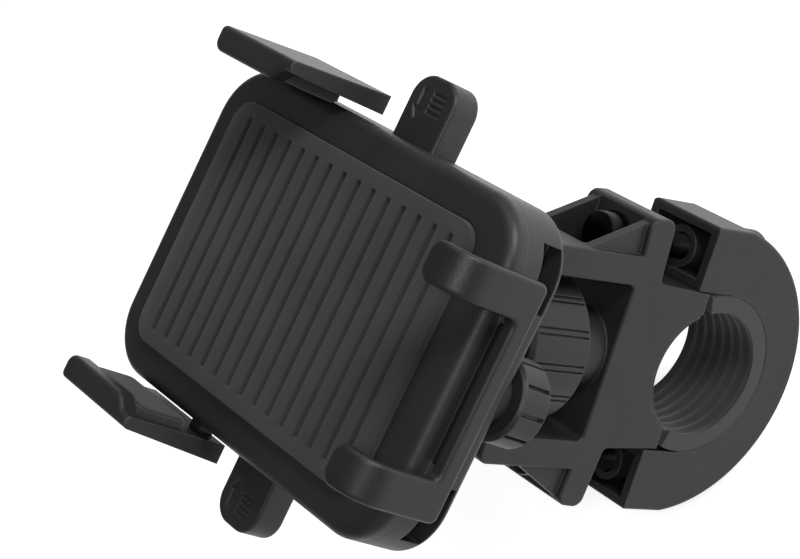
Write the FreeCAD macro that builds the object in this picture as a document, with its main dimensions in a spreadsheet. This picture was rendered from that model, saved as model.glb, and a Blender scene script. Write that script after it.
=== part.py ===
import FreeCAD, Part
import math
import os
import Sketcher
from FreeCAD import Placement, Rotation, Vector

# Phone mount for a bicycle handlebar: a cradle with two spring arms and a foot, on a ball
# joint, on a two-part bar clamp.
#
# Row frame: the origin is the centre of the handlebar bore, +X runs along the bar and
# towards the phone's top, and +Z is square to the phone's back, out of the screen.
# The cradle's sub-parts are drawn in the phone's frame: origin at the centre of its glass,
# x towards its top, y towards its left edge, z out of the screen.
# The clamp's sub-parts are drawn about the bore, z towards the ball, and are then tilted.

DIMENSIONS = {
    # where the frames stand
    "clamp_tilt": 10.5, "phone_x": 18.5, "phone_y": 12.6, "phone_z": 100.5, "ball_height": 47.0,
    # cradle casing
    "body_bottom": -60.6, "body_top": 27.0, "body_half_width": 30.5, "body_corner": 11.0,
    "lid_top": -8.8, "seam": -12.4, "shell_back": -21.5, "shell_wall": 1.8, "lid_plate": 2.2,
    "lid_soft_edge": 2.2, "shell_soft_edge": 1.3, "gap": 0.3, "pad_depth": 1.8,
    "pad_half_width": 24.0, "pad_bottom": -52.0, "pad_top": 20.0, "pad_groove": 1.2,
    # foot
    "foot_face": -65.0, "foot_plate": 3.0, "foot_half_width": 20.9, "finger_width": 7.0,
    "foot_low": -15.2, "web_top": -11.5, "finger_top": 4.0, "finger_tip": -56.0,
    "tongue_half_width": 12.0, "tongue_depth": 2.2, "tongue_end": -30.0, "foot_travel": 20.0,
    "knob_x": -55.0, "knob_radius": 7.6, "knob_top": -23.4, "knob_low": -30.0, "knob_screw": 1.9,
    # arms
    "arm_bottom": -9.0, "arm_top": 16.5, "arm_outer": 34.6, "arm_inner": 32.3, "arm_lip": 29.9,
    "arm_high": 5.4, "lip_depth": 3.2, "arm_low": -15.6, "arm_root": 35.9, "bar_depth": 3.0,
    "arm_pad": 1.9, "rack_module": 1.0, "rack_end": 25.0, "ratchet_pitch": 1.6,
    "pinion_x": 4.0, "pinion_pitch": 4.0, "pinion_bore": 1.05,
    # release tabs and pawls
    "tab_centre": -21.0, "tab_half_width": 6.0, "tab_out": 42.6, "tab_top": -14.0,
    "tab_low": -20.0, "tab_corner": 4.5, "pawl_y": 15.0, "tab_travel": 3.0, "pawl_travel": 1.5,
    # bar clamp
    "clamp_width": 19.0, "bar_radius": 12.75, "base_bore": 13.3, "cap_bore": 16.3,
    "base_split": 5.6, "base_block": 16.2, "flange_root": 19.6, "flange_out": 29.2,
    "flange_high": 27.2, "fork_inner": 15.7, "fork_outer": 21.5, "fork_floor": 26.2,
    "fork_high": 50.0, "bolt_y": 22.4, "bolt_radius": 2.5, "cap_face": 9.1,
    "cap_curve": 29.8, "cap_curve_z": 4.64, "nut_flats": 8.0,
    # ball joint
    "ball_radius": 8.5, "ball_fit": 0.05, "collet_radius": 10.8, "collet_neck": 8.2, "ring_radius": 14.5,
    "ring_low": 36.0, "ring_high": 50.5, "neck_radius": 4.2, "neck_flange": 9.0,
    "swivel_bore": 4.06, "swivel_pin": 4.0,
}

doc = FreeCAD.newDocument("PhoneMount")
sheet = doc.addObject("Spreadsheet::Sheet", "Dim")
for row, (alias, number) in enumerate(DIMENSIONS.items(), start=1):
    sheet.set("A%d" % row, alias.replace("_", " "))
    sheet.set("B%d" % row, str(number))
    sheet.setAlias("B%d" % row, alias)
doc.recompute()


class Size:
    """A length with its value and the sheet formula that it comes from."""

    def __init__(self, value, formula):
        self.value = value
        self.formula = formula

    def combine(self, other, sign, value_of):
        other = as_size(other)
        formula = "(%s %s %s)" % (self.formula, sign, other.formula)
        return Size(value_of(self.value, other.value), formula)

    def __add__(self, other):
        return self.combine(other, "+", lambda a, b: a + b)

    def __sub__(self, other):
        return self.combine(other, "-", lambda a, b: a - b)

    def __mul__(self, other):
        return self.combine(other, "*", lambda a, b: a * b)

    def __truediv__(self, other):
        return self.combine(other, "/", lambda a, b: a / b)

    def __radd__(self, other):
        return as_size(other) + self

    def __rsub__(self, other):
        return as_size(other) - self

    def __rmul__(self, other):
        return as_size(other) * self

    def __neg__(self):
        return as_size(0) - self


def as_size(number):
    if isinstance(number, Size):
        return number
    return Size(float(number), "%r" % float(number))


class Dimensions:
    """Reads a cell of the sheet by its alias."""

    def __getattr__(self, alias):
        return Size(float(getattr(sheet, alias)), "Dim.%s" % alias)


dim = Dimensions()


def bind(thing, name, size):
    thing.setExpression(name, as_size(size).formula)


# ---------------------------------------------------------------- placing sub-parts

nodes = []


def place(thing, x=0, y=0, z=0, tilt=None):
    """Set a sub-part's Placement from the sheet, tilted about X where tilt is given."""
    if tilt is not None:
        thing.Placement = Placement(Vector(), Rotation(Vector(1, 0, 0), tilt.value))
        bind(thing, "Placement.Rotation.Angle", tilt)
    bind(thing, "Placement.Base.x", x)
    bind(thing, "Placement.Base.y", y)
    bind(thing, "Placement.Base.z", z)


def keep(thing, label, frame):
    """Name a finished sub-part and stand it in the cradle's, the clamp's or the neck's frame."""
    thing.Label = label
    if frame == "cradle":
        place(thing, dim.phone_x, dim.phone_y, dim.phone_z)
    if frame == "clamp":
        place(thing, tilt=-dim.clamp_tilt)
    if frame == "neck":
        swing = dim.clamp_tilt.formula
        thing.setExpression("Placement.Base.y", "Dim.ball_height * sin(%s * 1 deg)" % swing)
        thing.setExpression("Placement.Base.z", "Dim.ball_height * cos(%s * 1 deg)" % swing)
    nodes.append(thing)
    return thing


# ---------------------------------------------------------------- drawing sub-parts


def new_body(name):
    return doc.addObject("PartDesign::Body", name + "Body")


def new_sketch(body, name, plane, height=0):
    """A sketch on one of the body's origin planes, lifted along its normal by height."""
    support = [item for item in body.Origin.OriginFeatures if item.Role == plane][0]
    sketch = body.newObject("Sketcher::SketchObject", name)
    sketch.AttachmentSupport = [(support, "")]
    sketch.MapMode = "FlatFace"
    bind(sketch, "AttachmentOffset.Base.z", height)
    return sketch


def fix_point(sketch, edge, end, x, y):
    """Dimension a point of an edge from the sketch's origin."""
    for kind, size in (("DistanceX", x), ("DistanceY", y)):
        number = sketch.addConstraint(Sketcher.Constraint(kind, -1, 1, edge, end, as_size(size).value))
        sketch.setExpression("Constraints[%d]" % number, as_size(size).formula)


def draw_outline(sketch, points):
    """A closed outline of straight edges through points of bound sizes."""
    first = sketch.GeometryCount
    corners = [Vector(as_size(x).value, as_size(y).value, 0) for x, y in points]
    count = len(corners)
    for i in range(count):
        sketch.addGeometry(Part.LineSegment(corners[i], corners[(i + 1) % count]), False)
    for i in range(count):
        follower = first + (i + 1) % count
        sketch.addConstraint(Sketcher.Constraint("Coincident", first + i, 2, follower, 1))
    for i, (x, y) in enumerate(points):
        fix_point(sketch, first + i, 1, x, y)


def draw_circle(sketch, x, y, radius):
    centre = Vector(as_size(x).value, as_size(y).value, 0)
    circle = Part.Circle(centre, Vector(0, 0, 1), as_size(radius).value)
    edge = sketch.addGeometry(circle, False)
    fix_point(sketch, edge, 3, x, y)
    number = sketch.addConstraint(Sketcher.Constraint("Radius", edge, as_size(radius).value))
    sketch.setExpression("Constraints[%d]" % number, as_size(radius).formula)


def rectangle(x0, x1, y0, y1):
    return [(x0, y0), (x1, y0), (x1, y1), (x0, y1)]


def draw_rounded(sketch, x0, x1, y0, y1, radius):
    """A rectangle with round corners: four arcs on bound centres, joined by tangent lines."""
    first = sketch.GeometryCount
    x0, x1, y0, y1, radius = [as_size(size) for size in (x0, x1, y0, y1, radius)]
    centres = [(x0 + radius, y0 + radius), (x1 - radius, y0 + radius),
               (x1 - radius, y1 - radius), (x0 + radius, y1 - radius)]
    reach = radius.value
    for quarter, (x, y) in enumerate(centres):
        start = math.radians(180 + 90 * quarter)
        circle = Part.Circle(Vector(x.value, y.value, 0), Vector(0, 0, 1), reach)
        sketch.addGeometry(Part.ArcOfCircle(circle, start, start + math.radians(90)), False)
    for quarter in range(4):
        x, y = [size.value for size in centres[quarter]]
        next_x, next_y = [size.value for size in centres[(quarter + 1) % 4]]
        out = Vector(math.cos(math.radians(270 + 90 * quarter)), math.sin(math.radians(270 + 90 * quarter)), 0)
        begin = Vector(x, y, 0) + out * reach
        finish = Vector(next_x, next_y, 0) + out * reach
        sketch.addGeometry(Part.LineSegment(begin, finish), False)
    for quarter, (x, y) in enumerate(centres):
        arc, line = first + quarter, first + 4 + quarter
        sketch.addConstraint(Sketcher.Constraint("Tangent", arc, 2, line, 1))
        sketch.addConstraint(Sketcher.Constraint("Tangent", line, 2, first + (quarter + 1) % 4, 1))
        fix_point(sketch, arc, 3, x, y)
        if quarter:
            sketch.addConstraint(Sketcher.Constraint("Equal", first, arc))
    number = sketch.addConstraint(Sketcher.Constraint("Radius", first, reach))
    sketch.setExpression("Constraints[%d]" % number, radius.formula)


def grow(body, kind, name, plane, outlines, length, height=0, both_ways=False, backwards=False):
    """Pad or Pocket a sketch. An outline is a list of points, (x, y, radius) for a circle or
    (x0, x1, y0, y1, radius) for a rectangle with round corners."""
    before = body.Shape.Volume if body.Tip else 0.0
    sketch = new_sketch(body, name + "Sketch", plane, height)
    for outline in outlines:
        if isinstance(outline, tuple) and len(outline) == 3:
            draw_circle(sketch, *outline)
        elif isinstance(outline, tuple):
            draw_rounded(sketch, *outline)
        else:
            draw_outline(sketch, outline)
    feature = body.newObject("PartDesign::" + kind, name)
    feature.Profile = sketch
    bind(feature, "Length", length)
    feature.Midplane = both_ways
    feature.Reversed = backwards
    doc.recompute()
    change = body.Shape.Volume - before
    if (kind == "Pad" and change <= 0) or (kind == "Pocket" and change >= 0):
        raise RuntimeError("%s of %s changes nothing" % (name, body.Name))
    return feature


def pad(body, name, plane, outlines, length, **options):
    return grow(body, "Pad", name, plane, outlines, length, **options)


def pocket(body, name, plane, outlines, length, **options):
    return grow(body, "Pocket", name, plane, outlines, length, **options)


def edge_names(shape, wanted):
    return ["Edge%d" % (i + 1) for i, edge in enumerate(shape.Edges) if wanted(edge)]


def soften(body, name, radius, wanted, kind="Fillet"):
    """Fillet or chamfer the edges of the body's tip that wanted picks."""
    base = body.Tip
    names = edge_names(base.Shape, wanted)
    if not names:
        raise RuntimeError("%s of %s finds no edges" % (name, body.Name))
    feature = body.newObject("PartDesign::" + kind, name)
    feature.Base = (base, names)
    bind(feature, "Radius" if kind == "Fillet" else "Size", radius)
    doc.recompute()
    if "Invalid" in feature.State:
        raise RuntimeError("%s of %s cannot be made" % (name, body.Name))
    return feature


def runs_along(edge, axis):
    """True for a straight edge along axis 0, 1 or 2."""
    if not isinstance(edge.Curve, Part.Line):
        return False
    return abs(abs(edge.tangentAt(edge.FirstParameter)[axis]) - 1) < 1e-6


def middle(edge):
    return edge.BoundBox.Center


def at_height(edge, z):
    """True for an edge that lies in the level plane z."""
    box = edge.BoundBox
    return abs(box.ZMin - z) < 1e-4 and abs(box.ZMax - z) < 1e-4


def around(body, name, make, count, axis_role):
    """A polar pattern of one feature about an axis of the body's origin."""
    feature = body.newObject("PartDesign::PolarPattern", name)
    feature.Originals = [make]
    axis = [item for item in body.Origin.OriginFeatures if item.Role == axis_role][0]
    feature.Axis = (axis, [""])
    feature.Angle = 360
    feature.Occurrences = count
    body.Tip = feature
    doc.recompute()
    return feature


def along(body, name, make, axis_role, count, span, backwards=False):
    """A row of one feature along an axis of the body's origin."""
    feature = body.newObject("PartDesign::LinearPattern", name)
    feature.Originals = [make]
    axis = [item for item in body.Origin.OriginFeatures if item.Role == axis_role][0]
    feature.Direction = (axis, [""])
    feature.Reversed = backwards
    bind(feature, "Length", span)
    feature.Occurrences = count
    body.Tip = feature
    doc.recompute()
    return feature


DIRECTIONS = {"x": Rotation(Vector(0, 1, 0), 90), "y": Rotation(Vector(1, 0, 0), -90), "z": Rotation()}


def box(name, x0, x1, y0, y1, z0, z1):
    solid = doc.addObject("Part::Box", name)
    for prop, low, high in (("Length", x0, x1), ("Width", y0, y1), ("Height", z0, z1)):
        bind(solid, prop, as_size(high) - low)
    place(solid, x0, y0, z0)
    return solid


def cylinder(name, radius, length, x=0, y=0, z=0, along_axis="z"):
    solid = doc.addObject("Part::Cylinder", name)
    bind(solid, "Radius", radius)
    bind(solid, "Height", length)
    solid.Placement = Placement(Vector(), DIRECTIONS[along_axis])
    place(solid, x, y, z)
    return solid


def cone(name, low_radius, high_radius, length, x=0, y=0, z=0):
    solid = doc.addObject("Part::Cone", name)
    bind(solid, "Radius1", low_radius)
    bind(solid, "Radius2", high_radius)
    bind(solid, "Height", length)
    place(solid, x, y, z)
    return solid


def prism(name, flats, length, x=0, y=0, z=0, sides=6):
    """A prism of the given width across its flats."""
    solid = doc.addObject("Part::Prism", name)
    solid.Polygon = sides
    corner_ratio = {4: 2 ** 0.5, 6: 2 / 3 ** 0.5}[sides]
    bind(solid, "Circumradius", as_size(flats) / 2 * corner_ratio)
    bind(solid, "Height", length)
    place(solid, x, y, z)
    return solid


def cut(name, base, tools):
    result = base
    for i, tool in enumerate(tools):
        step = doc.addObject("Part::Cut", "%sCut%d" % (name, i))
        step.Base = result
        step.Tool = tool
        result = step
    return result


def fuse(name, pieces):
    result = doc.addObject("Part::MultiFuse", name)
    result.Shapes = pieces
    result.Refine = True
    return result


def group(name, pieces):
    """Separate solids that share one node, such as like screws."""
    result = doc.addObject("Part::Compound", name)
    result.Links = pieces
    return result


def coil(label, frame, radius, wire, pitch, turns, stand):
    """A coil spring of round wire, its axis along z before it is stood by the given placement."""
    path = Part.makeHelix(pitch, pitch * turns, radius)
    section = Part.Wire(Part.makeCircle(wire, Vector(radius, 0, 0), Vector(0, 1, 0)))
    shape = Part.Wire(path.Edges).makePipeShell([section], True, True)
    shape.Placement = stand
    spring = doc.addObject("Part::Feature", label + "Coil")
    spring.Shape = shape.copy()
    whole = doc.addObject("Part::Compound", label + "Node")
    whole.Links = [spring]
    return keep(whole, label, frame)


# ---------------------------------------------------------------- clamp_base
# Near half of the bar clamp: a fork that takes the ball joint, two bolt flanges with
# gussets, half the bar bore and the split collet that grips the ball.

def clamp_base():
    body = new_body("ClampBase")
    width = dim.clamp_width
    half = [
        (dim.base_block, dim.base_split), (dim.base_block + 0.6, dim.flange_root),
        (dim.flange_out, dim.flange_root + 1.2), (dim.flange_out - 0.4, dim.flange_high),
        (dim.fork_outer, dim.flange_high - 0.8), (dim.fork_outer, dim.fork_high),
        (dim.fork_inner, dim.fork_high), (dim.fork_inner, dim.fork_floor)]
    other_half = [(-y, z) for y, z in reversed(half)]
    pad(body, "Fork", "YZ_Plane", [half + other_half], width, both_ways=True)
    soften(body, "ForkCorners", 2.2, lambda e: runs_along(e, 0) and (
        abs(middle(e).z - dim.fork_high.value) < 0.01 and abs(middle(e).y) > dim.fork_outer.value - 0.1
        or abs(middle(e).y) > dim.flange_out.value - 0.5))
    soften(body, "ForkRoots", 1.2, lambda e: runs_along(e, 0) and (
        abs(middle(e).z - dim.fork_floor.value) < 0.01
        or abs(middle(e).z - dim.flange_root.value) < 0.01))
    pocket(body, "Bore", "YZ_Plane", [(0, 0, dim.base_bore)], width + 2, both_ways=True)
    pocket(body, "LinerSeat", "YZ_Plane", [(0, 0, dim.base_bore + 1.7)], width - 5, both_ways=True)
    gusset = [(dim.fork_outer - 1, dim.flange_high - 3), (dim.flange_out - 1.2, dim.flange_high - 1),
              (dim.fork_outer, dim.flange_high + 12), (dim.fork_outer - 1, dim.flange_high + 12)]
    gussets = [gusset, [(-y, z) for y, z in reversed(gusset)]]
    # the ribs that hold the flanges stand a little back from the fork's faces
    set_back = 1.3
    rib = 2.0
    for side in (-1, 1):
        pad(body, "Gussets%s" % ("Far" if side > 0 else "Near"), "YZ_Plane", gussets, rib,
            height=side * (width / 2 - set_back - rib / 2), both_ways=True)
    troughs = []
    for side in (-1, 1):
        edges = sorted((side * (dim.fork_inner + 1.7), side * (dim.fork_outer + 8)), key=lambda s: s.value)
        troughs.append(rectangle(edges[0], edges[1], dim.flange_high - 0.9, dim.flange_high + 11.5))
    pocket(body, "BoltTroughs", "YZ_Plane", troughs, width - 6, both_ways=True)
    bolts = [(0, side * dim.bolt_y, dim.bolt_radius + 0.25) for side in (-1, 1)]
    pocket(body, "BoltHoles", "XY_Plane", bolts, 12, height=dim.flange_high + 1)
    # a slim neck carries the collet, whose thread starts just under the ring
    collet_low = dim.ring_low - 1.2
    pad(body, "ColletNeck", "XY_Plane", [(0, 0, dim.collet_neck)], collet_low - dim.fork_floor + 2,
        height=dim.fork_floor - 1)
    pad(body, "Collet", "XY_Plane", [(0, 0, dim.collet_radius)], dim.fork_high - collet_low + 0.2,
        height=collet_low)
    pocket(body, "ColletHollow", "XY_Plane", [(0, 0, 6.0)], dim.fork_high - dim.fork_floor - 4,
           height=dim.fork_high + 0.5)
    socket = body.newObject("PartDesign::SubtractiveSphere", "Socket")
    bind(socket, "Radius", dim.ball_radius + dim.ball_fit)
    place(socket, z=dim.ball_height)
    doc.recompute()
    slot = rectangle(-0.6, 0.6, 0, dim.collet_radius + 1)
    slot_cut = pocket(body, "ColletSlot", "XY_Plane", [slot], 10.5, height=dim.fork_high + 1)
    around(body, "ColletSlots", slot_cut, 6, "Z_Axis")
    soften(body, "FrameEdges", 0.5, lambda e: (
        isinstance(e.Curve, Part.Line) and abs(abs(middle(e).x) - dim.clamp_width.value / 2) < 1e-4
        and abs(middle(e).y) > 6))
    return keep(body, "clamp_base", "clamp")


# ---------------------------------------------------------------- clamp_cap
# Far half of the bar clamp: a C-shaped shell with hollow bolt flanges and nut pockets.

def clamp_cap():
    width = dim.clamp_width
    half = width / 2
    curve = cylinder("CapCurve", dim.cap_curve, width, x=-half, z=dim.cap_curve_z, along_axis="x")
    block = box("CapBlock", -half, half, -dim.flange_out, dim.flange_out, -30, dim.cap_face)
    hull = doc.addObject("Part::Common", "CapHull")
    hull.Base = curve
    hull.Tool = block
    soft = doc.addObject("Part::Fillet", "CapSoft")
    soft.Base = hull
    doc.recompute()
    far_side = dim.flange_out.value - 1.01
    soft.Edges = [(i + 1, 0.8, 0.8) for i, edge in enumerate(hull.Shape.Edges)
                  if not (edge.BoundBox.YLength > 40 and at_height(edge, dim.cap_face.value))
                  and not (runs_along(edge, 0) and middle(edge).z < 8)
                  and max(abs(edge.BoundBox.YMin), abs(edge.BoundBox.YMax)) > far_side]
    doc.recompute()
    bosses = [cylinder("CapBoss%d" % (side + 1), 5.45, 12.4, y=side * dim.bolt_y, z=-11.4)
              for side in (-1, 1)]
    solid = fuse("CapSolid", [soft] + bosses)
    tools = [
        cylinder("CapBore", dim.cap_bore, width + 2, x=-half - 1, along_axis="x"),
        box("CapMouth", -half - 1, half + 1, -dim.cap_bore - 0.2, dim.cap_bore + 0.2, 0, 12)]
    for side in (-1, 1):
        word = "Left" if side > 0 else "Right"
        near, far = sorted((side * (dim.cap_bore + 2.0), side * (dim.flange_out - 1.8)),
                           key=lambda s: s.value)
        hollow = box("CapHollow" + word, -half + 1.9, half - 1.9, near, far, -0.5, dim.cap_face + 1)
        tube = cylinder("CapTube" + word, 4.2, 12, y=side * dim.bolt_y, z=-1.5)
        recess = doc.addObject("Part::Cut", "CapRecess" + word)
        recess.Base = hollow
        recess.Tool = tube
        tools.append(recess)
        tools.append(cylinder("CapTubeTop" + word, 4.4, 3, y=side * dim.bolt_y, z=dim.cap_face - 0.9))
        tools.append(cylinder("CapHole" + word, dim.bolt_radius + 0.25, 40, y=side * dim.bolt_y, z=-25))
        tools.append(prism("CapNutPocket" + word, dim.nut_flats + 0.2, 20, y=side * dim.bolt_y, z=-27.2))
    shell = cut("Cap", solid, tools)
    return keep(shell, "clamp_cap", "clamp")


# ---------------------------------------------------------------- clamp liners, bolts, washers, nuts

def clamp_liners():
    """Rubber half-rings between the clamp and the bar."""
    half = dim.clamp_width / 2
    base = fuse("BaseLinerRing", [
        cylinder("BaseLinerThin", dim.base_bore - 0.03, dim.clamp_width, x=-half, along_axis="x"),
        cylinder("BaseLinerRib", dim.base_bore + 1.65, dim.clamp_width - 5.2, x=-half + 2.6,
                 along_axis="x")])
    bore = cylinder("BaseLinerBore", dim.bar_radius, 40, x=-20, along_axis="x")
    below = box("BaseLinerBelow", -20, 20, -20, 20, -20, dim.base_split + 0.4)
    keep(cut("BaseLiner", base, [bore, below]), "base_liner", "clamp")

    ring = cylinder("CapLinerRing", dim.cap_bore - 0.05, dim.clamp_width, x=-half, along_axis="x")
    bore = cylinder("CapLinerBore", dim.bar_radius, 40, x=-20, along_axis="x")
    above = box("CapLinerAbove", -20, 20, -20, 20, dim.base_split - 0.6, 20)
    keep(cut("CapLiner", ring, [bore, above]), "cap_liner", "clamp")


def clamp_fasteners():
    """Two bolts, their washers under the heads, and the nuts in the cap's pockets."""
    bolts, washers, nuts = [], [], []
    seat = dim.flange_high - 0.9
    for side in (-1, 1):
        word = "Left" if side > 0 else "Right"
        y = side * dim.bolt_y
        shank = cylinder("BoltShank" + word, dim.bolt_radius, seat + 14.1, y=y, z=-12.5)
        head = cylinder("BoltHead" + word, 4.25, 3.4, y=y, z=seat + 1.0)
        socket = prism("BoltSocket" + word, 4.0, 3, y=y, z=seat + 2.4)
        bolts.append(cut("Bolt" + word, fuse("BoltBlank" + word, [shank, head]), [socket]))
        disc = cylinder("WasherDisc" + word, 4.6, 0.9, y=y, z=seat + 0.05)
        hole = cylinder("WasherHole" + word, dim.bolt_radius + 0.2, 3, y=y, z=seat - 1)
        washers.append(cut("Washer" + word, disc, [hole]))
        blank = prism("NutBlank" + word, dim.nut_flats, 4.0, y=y, z=-11.25)
        bore = cylinder("NutBore" + word, dim.bolt_radius + 0.05, 8, y=y, z=-13)
        nuts.append(cut("Nut" + word, blank, [bore]))
    keep(group("ClampBolts", bolts), "clamp_bolts", "clamp")
    keep(group("BoltWashers", washers), "bolt_washers", "clamp")
    keep(group("ClampNuts", nuts), "clamp_nuts", "clamp")


# ---------------------------------------------------------------- lock_ring, ball, neck

def lock_ring():
    """Ribbed ring that screws over the collet and squeezes it on the ball."""
    body = new_body("LockRing")
    depth = dim.ring_high - dim.ring_low
    pad(body, "Ring", "XY_Plane", [(0, 0, dim.ring_radius)], depth, height=dim.ring_low)
    soften(body, "RimChamfer", 0.8, lambda e: isinstance(e.Curve, Part.Circle), kind="Chamfer")
    pocket(body, "RingBore", "XY_Plane", [(0, 0, dim.collet_radius + 0.08)], depth + 2,
           height=dim.ring_high + 1)
    grooves = [rectangle(dim.ring_radius - 0.6, dim.ring_radius + 1, at - 0.22, at + 0.22)
               for at in (-0.58, 0.58)]
    groove_cut = pocket(body, "GripGroove", "XY_Plane", grooves, depth - 2.0,
                        height=dim.ring_high - 1.0)
    around(body, "GripGrooves", groove_cut, 14, "Z_Axis")
    return keep(body, "lock_ring", "clamp")


def ball():
    sphere = doc.addObject("Part::Sphere", "BallSphere")
    bind(sphere, "Radius", dim.ball_radius)
    keep(sphere, "ball", "neck")


def neck():
    """Stem from the ball to the cradle, with a flange and a swivel pin."""
    rise = dim.phone_z + dim.shell_back - dim.ball_height * 0.98325
    low = 5.0
    flange_top = rise - 2.8
    pin_top = rise + dim.shell_wall + 0.1
    stem = cylinder("NeckStem", dim.neck_radius, flange_top - low, z=low)
    flare = cone("NeckFlare", dim.neck_radius, dim.neck_flange - 1.2, 5.0, z=flange_top - 7.5)
    flange = cylinder("NeckFlange", dim.neck_flange, 2.6, z=flange_top - 2.6)
    pin = cylinder("NeckPin", dim.swivel_pin, pin_top - flange_top + 0.5, z=flange_top - 0.5)
    hollow = doc.addObject("Part::Sphere", "NeckHollow")
    bind(hollow, "Radius", dim.ball_radius + dim.ball_fit)
    hole = cylinder("NeckHole", 1.45, 12, z=pin_top - 11)
    solid = cut("Neck", fuse("NeckBlank", [stem, flare, flange, pin]), [hollow, hole])
    keep(solid, "neck", "neck")

    disc = cylinder("NeckWasherDisc", 4.5, 0.8, z=pin_top + 0.1)
    eye = cylinder("NeckWasherEye", 1.6, 3, z=pin_top - 1)
    keep(cut("NeckWasher", disc, [eye]), "neck_washer", "neck")

    shank = cylinder("NeckScrewShank", 1.4, 10.8, z=pin_top - 9.8)
    head = cylinder("NeckScrewHead", 2.8, 1.5, z=pin_top + 0.95)
    cross_a = box("NeckScrewCrossA", -1.6, 1.6, -0.3, 0.3, pin_top + 1.6, pin_top + 4)
    cross_b = box("NeckScrewCrossB", -0.3, 0.3, -1.6, 1.6, pin_top + 1.6, pin_top + 4)
    screw = cut("NeckScrew", fuse("NeckScrewBlank", [shank, head]), [cross_a, cross_b])
    keep(screw, "neck_screw", "neck")


# ---------------------------------------------------------------- rear_housing
# Back shell of the cradle: a tray with slots for the arms, tabs and foot, two corner
# windows, screw bosses, the swivel boss and the bosses of the pinion and the foot screw.

SCREW_X = (-44.0, 17.5)
SCREW_Y = 24.8


def neck_centre():
    """Where the swivel's axis meets the cradle, in the phone's frame."""
    return -dim.phone_x, dim.ball_height * 0.18224 - dim.phone_y


def rear_housing():
    body = new_body("RearHousing")
    outside = rectangle(dim.body_bottom, dim.body_top, -dim.body_half_width, dim.body_half_width)
    depth = dim.seam - dim.shell_back
    pad(body, "Shell", "XY_Plane", [outside], depth, height=dim.shell_back)
    soften(body, "ShellCorners", dim.body_corner, lambda e: runs_along(e, 2))
    soften(body, "ShellBackEdge", dim.shell_soft_edge, lambda e: at_height(e, dim.shell_back.value))
    wall = dim.shell_wall
    inside = (dim.body_bottom + wall, dim.body_top - wall,
              wall - dim.body_half_width, dim.body_half_width - wall, dim.body_corner - wall)
    pocket(body, "Hollow", "XY_Plane", [inside], depth - wall, height=dim.seam)

    half = dim.body_half_width
    gap = dim.gap
    left_bar = rectangle(-5.3, 1.1, half - 3, half + 1)
    right_bar = rectangle(6.9, 12.8, -half - 1, 3 - half)
    pocket(body, "ArmSlots", "XY_Plane", [left_bar, right_bar], dim.bar_depth + 0.5, height=dim.seam)
    tab = rectangle(dim.tab_centre - dim.tab_half_width - gap, dim.tab_centre + dim.tab_half_width + gap,
                    dim.tab_low - gap, dim.tab_top + gap)
    pocket(body, "TabSlots", "XZ_Plane", [tab], half * 2 + 4, both_ways=True)
    tongue = rectangle(-dim.tongue_half_width - gap, dim.tongue_half_width + gap,
                       dim.foot_low - gap, dim.foot_low + dim.tongue_depth + gap)
    pocket(body, "FootSlot", "YZ_Plane", [tongue], 8, height=dim.body_bottom, both_ways=True)
    windows = [rectangle(15.5, 26.3, -20.4, -16.0), rectangle(-26.3, -15.5, -20.4, -16.0)]
    pocket(body, "CornerWindows", "YZ_Plane", windows, 8, height=dim.body_bottom + 1.6, both_ways=True)

    floor = dim.shell_back + wall
    x, y = neck_centre()
    pad(body, "SwivelBoss", "XY_Plane", [(x, y, 12.0)], 2.6, height=dim.shell_back - 2.5)
    pad(body, "KnobBoss", "XY_Plane", [(dim.knob_x, 0, 5.0)], 1.8, height=dim.knob_top + gap)
    pad(body, "TongueBoss", "XY_Plane", [(dim.knob_x, 0, 5.0)], dim.foot_low - gap - floor + 0.1,
        height=floor - 0.1)
    pad(body, "PinionBoss", "XY_Plane", [(dim.pinion_x, 0, 2.8)], dim.arm_low - floor - 0.1,
        height=floor - 0.1)
    screws = [(sx, sy, 3.2) for sx in SCREW_X for sy in (-SCREW_Y, SCREW_Y)]
    pad(body, "ScrewBosses", "XY_Plane", screws, dim.seam - 0.8 - floor, height=floor - 0.1)
    holes = [(sx, sy, 1.5) for sx, sy, _ in screws]
    pocket(body, "ScrewHoles", "XY_Plane", holes, 20, height=0)
    heads = [(sx, sy, 2.7) for sx, sy, _ in screws]
    pocket(body, "ScrewHeads", "XY_Plane", heads, 2.0, height=dim.shell_back, backwards=True)
    pocket(body, "SwivelBore", "XY_Plane", [(x, y, dim.swivel_bore)], 12, height=dim.shell_back + 6)
    pocket(body, "FootScrewHole", "XY_Plane", [(dim.knob_x, 0, dim.knob_screw + 0.3)], 20, height=-8)
    pocket(body, "PinHole", "XY_Plane", [(dim.pinion_x, 0, dim.pinion_bore)], 6,
           height=dim.arm_low + 0.1)
    return keep(body, "rear_housing", "cradle")


# ---------------------------------------------------------------- front_housing
# Front lid of the cradle: a soft-edged plate with the seat of the back pad, guides for the
# two pawls, the pocket of the foot nut and four screw bosses.

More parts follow.
